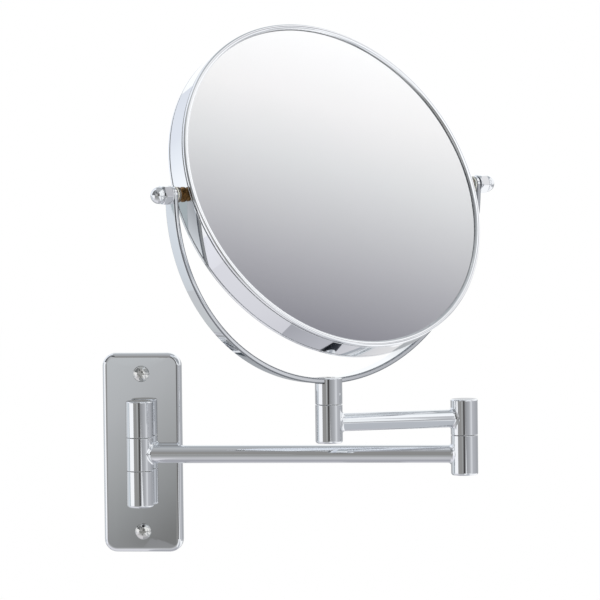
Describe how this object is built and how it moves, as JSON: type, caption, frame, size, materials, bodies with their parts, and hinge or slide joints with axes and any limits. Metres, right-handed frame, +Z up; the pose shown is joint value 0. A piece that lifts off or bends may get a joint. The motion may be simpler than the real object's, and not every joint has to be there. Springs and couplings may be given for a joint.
{
  "type": "extendable shaving mirror",
  "caption": "Wall-mounted shaving mirror: a round double-sided head in a bent strap yoke on a folding double arm with stacked barrel hinges and a pressed wall plate.",
  "frame": {"origin": "middle of the wall plate, on the wall plane, half way between the two wall screws", "axes": "+Z up; +Y into the wall, so the room is on the -Y side; +X to the right seen from the room, the side the long arm leaves to at rest"},
  "size_m": [0.2265, 0.1695, 0.3059],
  "materials": {
    "chrome_plate": "bright chrome plate over brass and steel",
    "silvered_glass": "polished silvered mirror glass",
    "plated_screw": "chrome plated steel screw",
    "zinc_steel": "bright zinc plated steel",
    "black_bolt": "plain steel socket-head bolt, lightly oiled",
    "spring_steel": "spring steel washer",
    "bush_brass": "turned brass",
    "nylon": "natural nylon",
    "moulded_plastic": "black moulded plastic",
    "foam": "closed-cell foam"
  },
  "bodies": {
    "wall_bracket": {"wall_plate": "chrome_plate", "wall_screws": "plated_screw", "upper_wall_knuckle": "chrome_plate", "lower_wall_knuckle": "chrome_plate", "knuckle_screws": "zinc_steel", "knuckle_screw_washers": "zinc_steel", "wall_hinge_bolt": "black_bolt", "wall_hinge_spring_washer": "spring_steel", "wall_hinge_washers": "nylon"},
    "long_arm": {"long_arm_wall_knuckle": "chrome_plate", "wall_hinge_bush": "bush_brass", "long_arm_tube": "chrome_plate", "long_arm_elbow_knuckle": "chrome_plate", "elbow_bush": "bush_brass", "elbow_washer": "nylon"},
    "short_arm": {"short_arm_elbow_knuckle": "chrome_plate", "elbow_bolt": "black_bolt", "elbow_spring_washer": "spring_steel", "short_arm_tube": "chrome_plate", "short_arm_wrist_knuckle": "chrome_plate", "wrist_bush": "bush_brass", "wrist_washer": "nylon"},
    "yoke": {"yoke_holder": "chrome_plate", "wrist_bolt": "black_bolt", "wrist_spring_washer": "spring_steel", "yoke_screw": "plated_screw", "yoke_strap": "chrome_plate"},
    "mirror_head": {"rim_band": "chrome_plate", "front_bezel": "chrome_plate", "rear_bezel": "chrome_plate", "flat_glass": "silvered_glass", "magnifying_glass": "silvered_glass", "pivot_anchors": "zinc_steel", "spacer_ring": "moulded_plastic", "foam_pad": "foam", "pivot_studs": "zinc_steel", "pivot_bushes": "bush_brass", "pivot_springs": "spring_steel", "pivot_washers": "nylon", "cap_washers": "chrome_plate", "cap_nuts": "chrome_plate"}
  },
  "joints": [
    {"name": "wall_swing", "type": "hinge", "parent": "wall_bracket", "child": "long_arm", "pos_m": [0, -0.0154, 0], "axis": [0, 0, 1], "range_deg": [-180, 0]},
    {"name": "elbow_swing", "type": "hinge", "parent": "long_arm", "child": "short_arm", "pos_m": [0.189, -0.0154, 0.01105], "axis": [0, 0, 1], "continuous": true},
    {"name": "yoke_swivel", "type": "hinge", "parent": "short_arm", "child": "yoke", "pos_m": [0.11444, -0.04705, 0.0312], "axis": [0, 0, 1], "continuous": true},
    {"name": "mirror_tilt", "type": "hinge", "parent": "yoke", "child": "mirror_head", "pos_m": [0.11444, -0.04705, 0.1538], "axis": [0.7254, 0.6884, 0], "continuous": true}
  ]
}
